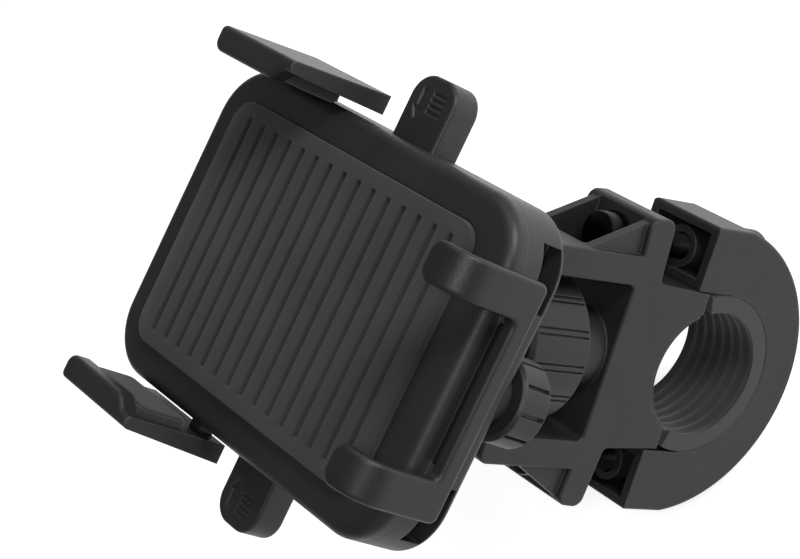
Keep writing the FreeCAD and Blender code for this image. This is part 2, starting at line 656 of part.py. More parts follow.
def front_housing():
    body = new_body("FrontHousing")
    outside = rectangle(dim.body_bottom, dim.body_top, -dim.body_half_width, dim.body_half_width)
    pad(body, "Lid", "XY_Plane", [outside], dim.lid_top - dim.seam, height=dim.seam)
    soften(body, "LidCorners", dim.body_corner, lambda e: runs_along(e, 2))
    soften(body, "LidSoftEdge", dim.lid_soft_edge, lambda e: at_height(e, dim.lid_top.value))
    wall = dim.shell_wall
    inside = (dim.body_bottom + wall, dim.body_top - wall,
              wall - dim.body_half_width, dim.body_half_width - wall, dim.body_corner - wall)
    under = dim.lid_top - dim.lid_plate
    pocket(body, "LidHollow", "XY_Plane", [inside], under - dim.seam, height=dim.seam, backwards=True)
    seat = (dim.pad_bottom - 0.1, dim.pad_top + 0.1,
            -dim.pad_half_width - 0.1, dim.pad_half_width + 0.1, 4.1)
    pocket(body, "PadSeat", "XY_Plane", [seat], 0.6, height=dim.lid_top)

    low = dim.arm_low
    guides = []
    for side in (-1, 1):
        for distance in (dim.pawl_y - 3.5, dim.pawl_y + 2.7):
            near, far = sorted((side * distance, side * (distance + 0.8)), key=lambda s: s.value)
            guides.append(rectangle(-24.0, -8.0, near, far))
        near, far = sorted((side * (dim.pawl_y - 3.5), side * (dim.pawl_y + 3.5)), key=lambda s: s.value)
        guides.append(rectangle(-27.0, -25.9, near, far))
    pad(body, "PawlGuides", "XY_Plane", guides, under - low + 0.1, height=low)
    holder = rectangle(dim.knob_x - 4.6, dim.knob_x + 4.6, -4.6, 4.6)
    hollow = rectangle(dim.knob_x - 3.6, dim.knob_x + 3.6, -3.6, 3.6)
    pad(body, "NutHolder", "XY_Plane", [holder, hollow], 1.4, height=under - 1.3)
    bosses = [(sx, sy, 3.2) for sx in SCREW_X for sy in (-SCREW_Y, SCREW_Y)]
    pad(body, "LidBosses", "XY_Plane", bosses, under - dim.seam + 0.6, height=dim.seam - 0.6)
    pilots = [(sx, sy, 1.2) for sx, sy, _ in bosses]
    pocket(body, "LidPilots", "XY_Plane", pilots, 2.9, height=dim.seam - 0.7, backwards=True)
    return keep(body, "front_housing", "cradle")


def back_pad():
    """Rubber pad that the phone's back rests on, with grooves across it."""
    body = new_body("BackPad")
    low = dim.lid_top - 0.6
    plate = rectangle(dim.pad_bottom, dim.pad_top, -dim.pad_half_width, dim.pad_half_width)
    pad(body, "Sheet", "XY_Plane", [plate], dim.pad_depth, height=low)
    soften(body, "SheetCorners", 4.0, lambda e: runs_along(e, 2))
    soften(body, "SheetEdge", 0.5, lambda e: at_height(e, (low + dim.pad_depth).value))
    reach = dim.pad_half_width - 4
    start = dim.pad_bottom + 7.4
    groove = rectangle(start, start + dim.pad_groove, -reach, reach)
    groove_cut = pocket(body, "Groove", "XY_Plane", [groove], 0.7, height=low + dim.pad_depth)
    along(body, "Grooves", groove_cut, "X_Axis", 8, dim.pad_top - dim.pad_bottom - 16)
    return keep(body, "back_pad", "cradle")


def housing_screws():
    """Four screws that join the two halves of the cradle from behind."""
    screws = []
    for i, sx in enumerate(SCREW_X):
        for j, sy in enumerate((-SCREW_Y, SCREW_Y)):
            tag = "%d%d" % (i, j)
            head = cylinder("CaseHead" + tag, 2.4, 1.5, x=sx, y=sy, z=dim.shell_back + 0.45)
            shank = cylinder("CaseShank" + tag, 1.15, 9.3, x=sx, y=sy, z=dim.shell_back + 1.8)
            bar_a = box("CaseCrossA" + tag, sx - 1.4, sx + 1.4, sy - 0.28, sy + 0.28,
                        dim.shell_back, dim.shell_back + 1.1)
            bar_b = box("CaseCrossB" + tag, sx - 0.28, sx + 0.28, sy - 1.4, sy + 1.4,
                        dim.shell_back, dim.shell_back + 1.1)
            screws.append(cut("CaseScrew" + tag, fuse("CaseBlank" + tag, [head, shank]), [bar_a, bar_b]))
    keep(group("HousingScrews", screws), "housing_screws", "cradle")


# ---------------------------------------------------------------- arms, racks and arm pads
# Each arm is a wall beside the phone with a lip over its edge. A rack bar stands in from its
# foot and slides in the casing, on one side of the pinion. The left bar also has ratchet
# teeth for the pawls.

def arm(side):
    word = "Left" if side > 0 else "Right"
    body = new_body(word + "Arm")
    lip_low = dim.arm_high - dim.lip_depth
    section = [
        (side * dim.arm_inner, dim.arm_low), (side * dim.arm_root, dim.arm_low),
        (side * dim.arm_outer, dim.arm_high), (side * dim.arm_lip, dim.arm_high),
        (side * dim.arm_lip, lip_low), (side * dim.arm_inner, lip_low)]
    length = dim.arm_top - dim.arm_bottom
    pad(body, "Wall", "YZ_Plane", [section], length, height=dim.arm_bottom)
    clear_lip = [(dim.arm_bottom - 1, side * (dim.arm_lip - 1)), (-2.2, side * (dim.arm_lip - 1)),
                 (-2.2, side * dim.arm_lip), (-5.0, side * (dim.arm_inner + 0.1)),
                 (dim.arm_bottom - 1, side * (dim.arm_inner + 0.1))]
    pocket(body, "LipEnd", "XY_Plane", [clear_lip], dim.lip_depth + 0.4, height=dim.arm_high + 0.2)
    lean = [(dim.arm_bottom - 2, dim.arm_low - 1), (dim.arm_bottom, dim.arm_low - 1),
            (dim.arm_bottom + 1.8, dim.arm_high + 1), (dim.arm_bottom - 2, dim.arm_high + 1)]
    pocket(body, "LeaningEnd", "XZ_Plane", [lean], 90, both_ways=True)
    soften(body, "WallEnd", 1.1, lambda e: abs(middle(e).x - dim.arm_top.value) < 0.01
           and abs(middle(e).y) > dim.arm_outer.value - 0.5 and e.BoundBox.ZLength > 5)
    soften(body, "LipCurve", 2.4, lambda e: runs_along(e, 2) and abs(middle(e).z - dim.arm_high.value) < 2
           and (abs(middle(e).x + 2.2) < 0.01 or abs(middle(e).x + 5.0) < 0.01))
    soften(body, "LipCorner", 2.0, lambda e: runs_along(e, 2)
           and abs(middle(e).x - dim.arm_top.value) < 0.01 and abs(abs(middle(e).y) - dim.arm_lip.value) < 0.01)
    # one rounding runs along the top edge, round the end and back along the lip
    soften(body, "TopEdge", 1.0, lambda e: runs_along(e, 0)
           and abs(abs(middle(e).y) - dim.arm_outer.value) < 0.01)
    return keep(body, word.lower() + "_arm", "cradle")


def rack(side):
    word = "Left" if side > 0 else "Right"
    body = new_body(word + "Rack")
    bar_top = dim.arm_low + dim.bar_depth
    root = 0.9
    if side > 0:
        bar = rectangle(-4.2, -root, -dim.rack_end, dim.arm_inner)
    else:
        bar = rectangle(dim.pinion_pitch * 2 + root, 12.4, -dim.arm_inner, dim.rack_end)
    pad(body, "Bar", "XY_Plane", [bar], dim.bar_depth, height=dim.arm_low)
    tooth = rack_tooth(side, root)
    tooth_pad = pad(body, "RackTooth", "XY_Plane", [tooth], bar_top - dim.arm_low, height=dim.arm_low)
    pitch = 3.14159265 * dim.rack_module
    along(body, "RackTeeth", tooth_pad, "Y_Axis", 8, pitch * 7, backwards=side > 0)
    if side > 0:
        start = -dim.rack_end + 0.4
        notch = [(-4.15, start), (-4.15, start + 1.2), (-5.0, start + 1.2), (-5.0, start + 0.9)]
        notch_pad = pad(body, "RatchetTooth", "XY_Plane", [notch], dim.bar_depth, height=dim.arm_low)
        along(body, "RatchetTeeth", notch_pad, "Y_Axis", 26, dim.ratchet_pitch * 25)
    return keep(body, word.lower() + "_rack", "cradle")


def rack_tooth(side, root):
    """First rack tooth, half a pitch from the pinion's centre line; the row runs on from it."""
    offset = 3.14159265 * dim.rack_module / 2
    first = offset + 3.14159265 * dim.rack_module
    line = 0 if side > 0 else dim.pinion_pitch * 2
    inward = 1 if side > 0 else -1
    y = side * first
    base = as_size(line) - inward * (root + 0.05)
    tip = as_size(line) + inward * 0.75
    return [(base, y - 0.95), (tip, y - 0.38), (tip, y + 0.38), (base, y + 0.95)]


def arm_pad(side):
    word = "Left" if side > 0 else "Right"
    body = new_body(word + "ArmPad")
    low = dim.lid_top + 0.6
    high = dim.arm_high - dim.lip_depth - 0.4
    near, far = sorted((side * (dim.arm_inner - dim.arm_pad), side * dim.arm_inner), key=lambda s: s.value)
    outline = rectangle(-6.4, dim.arm_top - 2, near, far)
    pad(body, "Strip", "XY_Plane", [outline], high - low, height=low)
    inner = (dim.arm_inner - dim.arm_pad).value
    soften(body, "StripEdges", 0.6, lambda e: abs(abs(middle(e).y) - inner) < 1e-4)
    return keep(body, word.lower() + "_arm_pad", "cradle")


# ---------------------------------------------------------------- pinion, its pin and spring

def pinion():
    body = new_body("Pinion")
    low = dim.arm_low
    pad(body, "Hub", "XY_Plane", [(0, 0, 3.1)], dim.bar_depth, height=low)
    tooth = [(3.0, -0.95), (4.75, -0.36), (4.75, 0.36), (3.0, 0.95)]
    tooth_pad = pad(body, "Tooth", "XY_Plane", [tooth], dim.bar_depth, height=low)
    around(body, "Teeth", tooth_pad, 8, "Z_Axis")
    pocket(body, "PinionBore", "XY_Plane", [(0, 0, dim.pinion_bore)], 10, height=low + 5)
    keep(body, "pinion", "cradle")
    place(body, dim.phone_x + dim.pinion_x, dim.phone_y, dim.phone_z)


def pinion_pin():
    length = dim.lid_top - dim.lid_plate - 0.2 - dim.arm_low + 3.4
    pin = cylinder("PinionPinBar", dim.pinion_bore - 0.05, length, x=dim.pinion_x, z=dim.arm_low - 3.4)
    keep(group("PinionPin", [pin]), "pinion_pin", "cradle")


def opening_spring():
    stand = Placement(Vector(dim.pinion_x.value, 0, dim.shell_back.value + 2.4), Rotation())
    coil("opening_spring", "cradle", 3.7, 0.35, 0.8, 3.5, stand)


# ---------------------------------------------------------------- release tabs, pawls, springs
# A tab slides in through the casing's side. A slanted slot in its inner end draws the pawl's
# post, and with it the pawl, away from the ratchet teeth.

def release_tab(side):
    word = "Left" if side > 0 else "Right"
    body = new_body(word + "Tab")
    centre = dim.tab_centre
    half = dim.tab_half_width
    inner_wall = dim.body_half_width - dim.shell_wall
    near, far = sorted((side * (inner_wall - 1.6), side * dim.tab_out), key=lambda s: s.value)
    grip = rectangle(centre - half, centre + half, near, far)
    pad(body, "Grip", "XY_Plane", [grip], dim.tab_top - dim.tab_low, height=dim.tab_low)
    out = dim.tab_out.value
    soften(body, "GripCorners", dim.tab_corner, lambda e: runs_along(e, 2) and abs(middle(e).y) > out - 0.1)
    soften(body, "GripEdges", 0.7, lambda e: abs(middle(e).y) > dim.body_half_width.value
           and (at_height(e, dim.tab_top.value) or at_height(e, dim.tab_low.value)))
    near, far = sorted((side * (inner_wall - 1.6), side * (inner_wall - 0.3)), key=lambda s: s.value)
    stop = rectangle(centre - half - 1.2, centre + half + 1.2, near, far)
    pad(body, "Stop", "XY_Plane", [stop], 3.4, height=dim.tab_low + 0.8)
    near, far = sorted((side * (dim.pawl_y - 2.4), side * (inner_wall - 1)), key=lambda s: s.value)
    slider = rectangle(centre - 1.5, centre + 7.0, near, far)
    pad(body, "Slider", "XY_Plane", [slider], 2.8, height=dim.tab_low + 1.0)
    reach = 1.35
    post_x = -17.0
    cam = [(post_x + reach, side * (dim.pawl_y - reach)),
           (post_x - reach, side * (dim.pawl_y - reach)),
           (post_x - reach - dim.pawl_travel, side * (dim.pawl_y + dim.tab_travel - reach / 2)),
           (post_x - reach - dim.pawl_travel, side * (dim.pawl_y + dim.tab_travel + reach)),
           (post_x + reach - dim.pawl_travel, side * (dim.pawl_y + dim.tab_travel + reach)),
           (post_x + reach, side * (dim.pawl_y + reach / 2))]
    pocket(body, "CamSlot", "XY_Plane", [cam], 6, height=dim.tab_top)
    bars = []
    for i in range(4):
        near, far = sorted((side * (dim.tab_out - 3.2 - i * 1.1), side * (dim.tab_out - 2.6 - i * 1.1)),
                           key=lambda s: s.value)
        bars.append(rectangle(centre - 3.4, centre + 0.2, near, far))
    pocket(body, "GripBars", "XY_Plane", bars, 0.35, height=dim.tab_top)
    point = side * (dim.tab_out - 8.2)
    neck_y = side * (dim.tab_out - 5.9)
    tail = side * (dim.tab_out - 2.6)
    arrow = [(centre + 2.6, point), (centre + 4.2, neck_y), (centre + 3.2, neck_y),
             (centre + 3.2, tail), (centre + 2.0, tail), (centre + 2.0, neck_y), (centre + 1.0, neck_y)]
    pocket(body, "Arrow", "XY_Plane", [arrow], 0.35, height=dim.tab_top)
    return keep(body, word.lower() + "_release_tab", "cradle")


def pawl(side):
    word = "Left" if side > 0 else "Right"
    y = side * dim.pawl_y
    low = dim.arm_low
    block = box(word + "PawlBlock", -19.0, -6.4, y - 2.4, y + 2.4, low, low + dim.bar_depth)
    nose = box(word + "PawlNose", -6.6, -5.3, y - 0.35, y + 0.35, low, low + dim.bar_depth)
    post = cylinder(word + "PawlPost", 1.2, 3.6, x=-17.0, y=y, z=dim.tab_low + 1.2)
    well = cylinder(word + "PawlWell", 1.25, 5, x=-20.4, y=y, z=low + dim.bar_depth / 2, along_axis="x")
    solid = cut(word + "Pawl", fuse(word + "PawlBlank", [block, nose, post]), [well])
    return keep(solid, word.lower() + "_pawl", "cradle")


def pawl_spring(side):
    word = "left" if side > 0 else "right"
    y = side * dim.pawl_y.value
    stand = Placement(Vector(-25.6, y, (dim.arm_low + dim.bar_depth / 2).value),
                      Rotation(Vector(0, 1, 0), 90))
    coil(word + "_pawl_spring", "cradle", 0.9, 0.18, 1.15, 7.2, stand)


# ---------------------------------------------------------------- foot_bracket, nut, knob
# One bent plate with two hooked fingers that hold the phone's lower end. Its tongue slides in
# the casing and is locked by the thumb knob's screw and a square nut.

def foot_bracket():
    body = new_body("FootBracket")
    face = dim.foot_face
    inner = face + dim.foot_plate
    top = dim.finger_top
    tip = dim.finger_tip
    # side view of the plate: upright face, a bend over the phone's end and a flat tip
    outline = [(face, dim.foot_low), (inner, dim.foot_low), (inner, 0.4), (tip, 0.8),
               (tip, top - 0.6), (face, top)]
    pad(body, "Plate", "XZ_Plane", [outline], dim.foot_half_width * 2, both_ways=True)
    soften(body, "Bend", 6.6, lambda e: runs_along(e, 1) and middle(e).z > 3.5 and middle(e).x < face.value + 1)
    soften(body, "InnerBend", 1.8, lambda e: runs_along(e, 1)
           and abs(middle(e).z - 0.4) < 0.01 and abs(middle(e).x - inner.value) < 0.01)
    inside = dim.foot_half_width - dim.finger_width
    opening = rectangle(-inside, inside, dim.web_top, top + 2)
    pocket(body, "BetweenFingers", "YZ_Plane", [opening], 24, height=face, both_ways=True)
    soften(body, "WebCorners", 1.2, lambda e: runs_along(e, 0)
           and abs(abs(middle(e).y) - inside.value) < 0.01 and abs(middle(e).z - dim.web_top.value) < 0.01)
    soften(body, "LowerCorners", 1.5, lambda e: runs_along(e, 0)
           and abs(abs(middle(e).y) - dim.foot_half_width.value) < 0.01
           and abs(middle(e).z - dim.foot_low.value) < 0.01)
    soften(body, "TipCorners", 2.4, lambda e: runs_along(e, 2) and abs(middle(e).x - tip.value) < 0.01)
    soften(body, "BeadAllRound", 0.85, lambda e: middle(e).x > tip.value - 0.01 and runs_along(e, 1))
    half = dim.tongue_half_width
    tongue = rectangle(inner - 0.5, dim.tongue_end, -half, half)
    pad(body, "Tongue", "XY_Plane", [tongue], dim.tongue_depth, height=dim.foot_low)
    slot = rectangle(dim.knob_x - 2.5, dim.knob_x + dim.foot_travel + 2.5,
                     -dim.knob_screw - 0.4, dim.knob_screw + 0.4)
    pocket(body, "TongueSlot", "XY_Plane", [slot], 5, height=dim.foot_low + dim.tongue_depth + 1)
    return keep(body, "foot_bracket", "cradle")


def foot_nut():
    under = dim.lid_top - dim.lid_plate
    low = dim.foot_low + dim.tongue_depth + dim.gap
    blank = box("FootNutBlank", dim.knob_x - 3.5, dim.knob_x + 3.5, -3.5, 3.5, low, under - 0.1)
    bore = cylinder("FootNutBore", dim.knob_screw + 0.06, 6, x=dim.knob_x, z=low - 1)
    keep(cut("FootNut", blank, [bore]), "foot_nut", "cradle")


def foot_knob():
    body = new_body("FootKnob")
    depth = dim.knob_top - dim.knob_low
    pad(body, "Knob", "XY_Plane", [(0, 0, dim.knob_radius)], depth, height=dim.knob_low)
    soften(body, "KnobRims", 0.6, lambda e: isinstance(e.Curve, Part.Circle), kind="Chamfer")
    groove = rectangle(dim.knob_radius - 0.7, dim.knob_radius + 1, -0.4, 0.4)
    groove_cut = pocket(body, "KnobGroove", "XY_Plane", [groove], depth - 1.4, height=dim.knob_top - 0.7)
    around(body, "KnobGrooves", groove_cut, 10, "Z_Axis")
    pocket(body, "KnobBore", "XY_Plane", [(0, 0, dim.knob_screw + 0.02)], depth - 1.2, height=dim.knob_top)
    keep(body, "foot_knob", "cradle")
    place(body, dim.phone_x + dim.knob_x, dim.phone_y, dim.phone_z)

    low = dim.knob_low + 1.3
    shank = cylinder("FootKnobShank", dim.knob_screw, dim.lid_top - dim.lid_plate - 0.5 - low,
                     x=dim.knob_x, z=low)
    keep(group("FootKnobScrew", [shank]), "foot_knob_screw", "cradle")


# ---------------------------------------------------------------- build, check and write

clamp_base()
clamp_cap()
clamp_liners()
clamp_fasteners()
lock_ring()
ball()
neck()
rear_housing()
front_housing()
back_pad()
housing_screws()
foot_bracket()
foot_nut()
foot_knob()
pinion()
pinion_pin()
opening_spring()
for each_side in (1, -1):
    arm(each_side)
    rack(each_side)
    arm_pad(each_side)
    release_tab(each_side)
    pawl(each_side)
    pawl_spring(each_side)
doc.recompute()

faults = []
for thing in doc.Objects:
    if "Invalid" in thing.State or "Error" in thing.State:
        faults.append("%s is %s" % (thing.Name, thing.State))
for node in nodes:
    if node.Shape.isNull() or not node.Shape.isValid():
        faults.append("%s has no valid shape" % node.Label)
if faults:
    raise RuntimeError("; ".join(faults))

os.makedirs("parts", exist_ok=True)
for node in nodes:
    node.Shape.exportStep("parts/%s.step" % node.Label)
    print("%-22s solids %d  volume %.1f" % (node.Label, len(node.Shape.Solids), node.Shape.Volume))
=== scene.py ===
import bmesh
import bpy
import math
from mathutils import Matrix, Vector


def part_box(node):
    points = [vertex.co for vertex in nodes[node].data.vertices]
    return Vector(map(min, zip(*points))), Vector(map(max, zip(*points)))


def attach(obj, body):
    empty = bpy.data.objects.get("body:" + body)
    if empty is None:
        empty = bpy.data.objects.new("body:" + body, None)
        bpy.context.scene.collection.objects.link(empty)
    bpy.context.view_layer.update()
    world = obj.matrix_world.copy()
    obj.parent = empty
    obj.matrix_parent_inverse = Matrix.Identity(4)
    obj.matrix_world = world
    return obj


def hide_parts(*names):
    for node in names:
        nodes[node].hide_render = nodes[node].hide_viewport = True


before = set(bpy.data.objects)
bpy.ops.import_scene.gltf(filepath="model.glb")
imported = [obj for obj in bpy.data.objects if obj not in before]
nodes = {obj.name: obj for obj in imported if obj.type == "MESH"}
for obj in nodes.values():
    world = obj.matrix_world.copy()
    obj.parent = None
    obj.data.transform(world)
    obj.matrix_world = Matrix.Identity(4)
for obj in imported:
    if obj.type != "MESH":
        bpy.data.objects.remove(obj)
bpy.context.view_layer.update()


# ------------------------------------------------------------------ camera, lights, floor
# A small dark object on a pale studio floor. Two small lights stand in front and make the
# highlights. A large faint one fills the far side, and one behind draws the edges.

camera_data = bpy.data.cameras.new("studio_camera")
camera_data.lens = 97.58
camera_data.sensor_width = 36.0
camera_data.clip_start = 0.01
camera = bpy.data.objects.new("studio_camera", camera_data)
bpy.context.scene.collection.objects.link(camera)
camera_right = Vector((-0.56647, -0.43087, -0.70247))
camera_down = Vector((-0.35181, 0.89729, -0.26666))
camera_ahead = Vector((0.74521, 0.09608, -0.65987))
camera_turn = Matrix((camera_right, -camera_down, -camera_ahead)).transposed().to_4x4()
camera_place = Vector((-0.282945, -0.031573, 0.323768))
camera.matrix_world = Matrix.Translation(camera_place) @ camera_turn
bpy.context.scene.camera = camera

light_target = Vector((0.0, 0.012, 0.06))
for light_name, light_place, light_size, light_power in (
        ("key_light", (-0.34, -0.44, 0.30), 0.24, 3.6),
        ("front_light", (-0.50, -0.06, 0.60), 0.14, 2.6),
        ("fill_light", (-0.30, 0.50, 0.45), 0.60, 0.4),
        ("rim_light", (0.10, -0.50, 0.45), 0.35, 0.8)):
    light_data = bpy.data.lights.new(light_name, "AREA")
    light_data.shape = "DISK"
    light_data.size = light_size
    light_data.energy = light_power
    light = bpy.data.objects.new(light_name, light_data)
    bpy.context.scene.collection.objects.link(light)
    light.location = light_place
    light_aim = light_target - Vector(light_place)
    light.rotation_euler = light_aim.to_track_quat("-Z", "Y").to_euler()

studio_air = bpy.data.worlds.new("studio_air")
bpy.context.scene.world = studio_air
studio_air.use_nodes = True
air_shader = studio_air.node_tree.nodes["Background"]
air_shader.inputs["Color"].default_value = (1.0, 1.0, 1.0, 1.0)
air_shader.inputs["Strength"].default_value = 0.26
bpy.context.scene.view_settings.view_transform = "Standard"

FLOOR_RADIUS = 3.0
FLOOR_Z = -0.034
bpy.ops.object.select_all(action="DESELECT")
bpy.ops.mesh.primitive_circle_add(vertices=96, radius=FLOOR_RADIUS, fill_type="NGON",
                                  location=(0, 0, FLOOR_Z))
floor = bpy.context.object
floor.name = "studio_floor"
bpy.ops.object.transform_apply(location=True)
floor_paint = bpy.data.materials.new("floor_paint")
floor_paint.use_nodes = True
floor_shader = floor_paint.node_tree.nodes["Principled BSDF"]
floor_shader.inputs["Base Color"].default_value = (0.9, 0.9, 0.9, 1)
floor_shader.inputs["Roughness"].default_value = 0.9
floor_shader.inputs["Emission Color"].default_value = (1, 1, 1, 1)
floor_shader.inputs["Emission Strength"].default_value = 0.46
floor.data.materials.append(floor_paint)


# ------------------------------------------------------------------ bar clamp
# Two halves of black glass-filled nylon, moulded with a fine spark-eroded grain. The faces are
# matt, the corners are painted a little brighter, partly as rubbing and partly as a painted
# highlight, and flow lines vary the sheen slightly.

def link(tree, out_node, out_name, in_node, in_name):
    tree.links.new(out_node.outputs[out_name], in_node.inputs[in_name])


def moulded(name, colour, roughness, grain_mm, grain_depth_mm, rub_and_highlight=1.6, specular=0.24):
    """Injection-moulded plastic: tool grain, faint flow marks, and corners painted brighter,
    partly as rubbing and partly as a painted highlight.
    """
    corner_reach = 0.00045
    paint = bpy.data.materials.new(name)
    paint.use_nodes = True
    tree = paint.node_tree
    shader = tree.nodes["Principled BSDF"]
    shader.inputs["Specular IOR Level"].default_value = specular
    place = tree.nodes.new("ShaderNodeTexCoord")

    flow = tree.nodes.new("ShaderNodeTexNoise")
    flow.inputs["Scale"].default_value = 55.0
    flow.inputs["Detail"].default_value = 3.0
    flow.inputs["Distortion"].default_value = 0.8
    link(tree, place, "Object", flow, "Vector")

    grain = tree.nodes.new("ShaderNodeTexNoise")
    grain.inputs["Scale"].default_value = 1000.0 / grain_mm
    grain.inputs["Detail"].default_value = 4.0
    grain.inputs["Roughness"].default_value = 0.6
    link(tree, place, "Object", grain, "Vector")

    # corners: the rounded normal leaves the true one within half a millimetre of an edge; there
    # the colour is painted brighter, partly as rubbing and partly as a painted highlight
    rounded = tree.nodes.new("ShaderNodeBevel")
    rounded.samples = 4
    rounded.inputs["Radius"].default_value = corner_reach
    true_face = tree.nodes.new("ShaderNodeNewGeometry")
    agree = tree.nodes.new("ShaderNodeVectorMath")
    agree.operation = "DOT_PRODUCT"
    link(tree, rounded, "Normal", agree, 0)
    link(tree, true_face, "Normal", agree, 1)
    corner_wear_and_highlight = tree.nodes.new("ShaderNodeMapRange")
    corner_wear_and_highlight.inputs["From Min"].default_value = 0.995
    corner_wear_and_highlight.inputs["From Max"].default_value = 0.86
    corner_wear_and_highlight.inputs["To Max"].default_value = 1.8
    link(tree, agree, "Value", corner_wear_and_highlight, "Value")
    patchy_wear_and_highlight = tree.nodes.new("ShaderNodeMath")
    patchy_wear_and_highlight.operation = "MULTIPLY"
    link(tree, corner_wear_and_highlight, "Result", patchy_wear_and_highlight, 0)
    link(tree, flow, "Fac", patchy_wear_and_highlight, 1)

    tone = tree.nodes.new("ShaderNodeValToRGB")
    tone.color_ramp.elements[0].position = 0.30
    tone.color_ramp.elements[0].color = [0.86 * c for c in colour] + [1]
    tone.color_ramp.elements[1].position = 0.70
    tone.color_ramp.elements[1].color = [1.14 * c for c in colour] + [1]
    link(tree, flow, "Fac", tone, "Fac")
    # brighter corner colour: partly rubbing, partly a painted highlight on the rounded edges
    wear_and_highlight = tree.nodes.new("ShaderNodeMix")
    wear_and_highlight.data_type = "RGBA"
    wear_and_highlight.inputs["B"].default_value = [min(1.0, rub_and_highlight * c) for c in colour] + [1]
    link(tree, patchy_wear_and_highlight, "Value", wear_and_highlight, "Factor")
    link(tree, tone, "Color", wear_and_highlight, "A")
    link(tree, wear_and_highlight, "Result", shader, "Base Color")

    sheen = tree.nodes.new("ShaderNodeMapRange")
    sheen.inputs["From Min"].default_value = 0.3
    sheen.inputs["From Max"].default_value = 0.7
    sheen.inputs["To Min"].default_value = roughness - 0.05
    sheen.inputs["To Max"].default_value = roughness + 0.07
    link(tree, grain, "Fac", sheen, "Value")
    link(tree, sheen, "Result", shader, "Roughness")

    relief = tree.nodes.new("ShaderNodeBump")
    relief.inputs["Strength"].default_value = 0.85
    relief.inputs["Distance"].default_value = grain_depth_mm / 1000.0
    link(tree, grain, "Fac", relief, "Height")
    link(tree, rounded, "Normal", relief, "Normal")
    link(tree, relief, "Normal", shader, "Normal")
    return paint


def finish_nodes(paint, *names):
    for name in names:
        nodes[name].data.materials.clear()
        nodes[name].data.materials.append(paint)


clamp_nylon = moulded("clamp_nylon", (0.0105, 0.0105, 0.0110), 0.45, 0.34, 0.034, rub_and_highlight=3.2)
finish_nodes(clamp_nylon, "clamp_base", "clamp_cap")


# ------------------------------------------------------------------ clamp liners
# Two soft rubber half-rings that keep the clamp from marking the bar. Their inner faces have
# grip grooves around the bar, and the base liner's rib sits in a groove of the clamp.

def soft_rubber(name, colour, roughness):
    """Black rubber: dry and dusty in patches, with a fine pebbled skin."""
    paint = bpy.data.materials.new(name)
    paint.use_nodes = True
    tree = paint.node_tree
    shader = tree.nodes["Principled BSDF"]
    shader.inputs["Specular IOR Level"].default_value = 0.22
    shader.inputs["Sheen Weight"].default_value = 0.12
    shader.inputs["Sheen Roughness"].default_value = 0.6
    place = tree.nodes.new("ShaderNodeTexCoord")
    pebble = tree.nodes.new("ShaderNodeTexVoronoi")
    pebble.inputs["Scale"].default_value = 2200.0
    link(tree, place, "Object", pebble, "Vector")
    dust = tree.nodes.new("ShaderNodeTexNoise")
    dust.inputs["Scale"].default_value = 90.0
    dust.inputs["Detail"].default_value = 6.0
    link(tree, place, "Object", dust, "Vector")
    tone = tree.nodes.new("ShaderNodeValToRGB")
    tone.color_ramp.elements[0].position = 0.35
    tone.color_ramp.elements[0].color = [0.85 * c for c in colour] + [1]
    tone.color_ramp.elements[1].position = 0.75
    tone.color_ramp.elements[1].color = [1.35 * c for c in colour] + [1]
    link(tree, dust, "Fac", tone, "Fac")
    link(tree, tone, "Color", shader, "Base Color")
    dry = tree.nodes.new("ShaderNodeMapRange")
    dry.inputs["To Min"].default_value = roughness - 0.08
    dry.inputs["To Max"].default_value = roughness + 0.12
    link(tree, dust, "Fac", dry, "Value")
    link(tree, dry, "Result", shader, "Roughness")
    relief = tree.nodes.new("ShaderNodeBump")
    relief.inputs["Strength"].default_value = 0.5
    relief.inputs["Distance"].default_value = 0.00003
    link(tree, pebble, "Distance", relief, "Height")
    link(tree, relief, "Normal", shader, "Normal")
    return paint


liner_rubber = soft_rubber("liner_rubber", (0.011, 0.011, 0.011), 0.72)
CLAMP_TILT = math.radians(10.5)
LINER_HALF = 0.0095
BAR_RADIUS = 0.01275
BASE_LINER_OUTER = 0.01327
CAP_LINER_OUTER = 0.01625
RIB_OUTER = 0.01495
RIB_HALF = 0.0069
GRIP_STEPS = 29
GRIP_DEPTH = 0.00035
BASE_LINER_REACH = math.radians(61.0)
CAP_LINER_REACH = math.radians(107.5)
SAME_PLACE = 1e-6


def start_plane(name, low, high):
    """One rectangular face between two corners, square to the Y axis, in edit mode."""
    bpy.ops.object.select_all(action="DESELECT")
    bpy.ops.mesh.primitive_plane_add(size=2.0, location=(0, 0, 0))
    piece = bpy.context.object
    piece.name = name
    piece.data.name = name
    spots = [(low[0], low[1], low[2]), (high[0], low[1], low[2]),
             (low[0], low[1], high[2]), (high[0], low[1], high[2])]
    for point, spot in zip(piece.data.vertices, spots):
        point.co = spot
    bpy.ops.object.mode_set(mode="EDIT")
    bpy.ops.mesh.select_mode(type="EDGE")
    return piece


def pick(piece, kind, wanted):
    """Select the points, edges or faces whose middle the test accepts."""
    bpy.ops.mesh.select_all(action="DESELECT")
    mesh = bmesh.from_edit_mesh(piece.data)
    mesh.select_mode = {kind.upper()}
    bpy.context.tool_settings.mesh_select_mode = (kind == "vert", kind == "edge", kind == "face")
    items = {"vert": mesh.verts, "edge": mesh.edges, "face": mesh.faces}[kind]
    for item in items:
        if kind == "vert":
            spot = item.co
        elif kind == "edge":
            spot = (item.verts[0].co + item.verts[1].co) / 2
        else:
            spot = item.calc_center_median()
        if wanted(spot, item):
            item.select_set(True)
    bmesh.update_edit_mesh(piece.data)


def choose(piece):
    """Select one piece alone and make it the active one."""
    bpy.ops.object.select_all(action="DESELECT")
    piece.select_set(True)
    bpy.context.view_layer.objects.active = piece


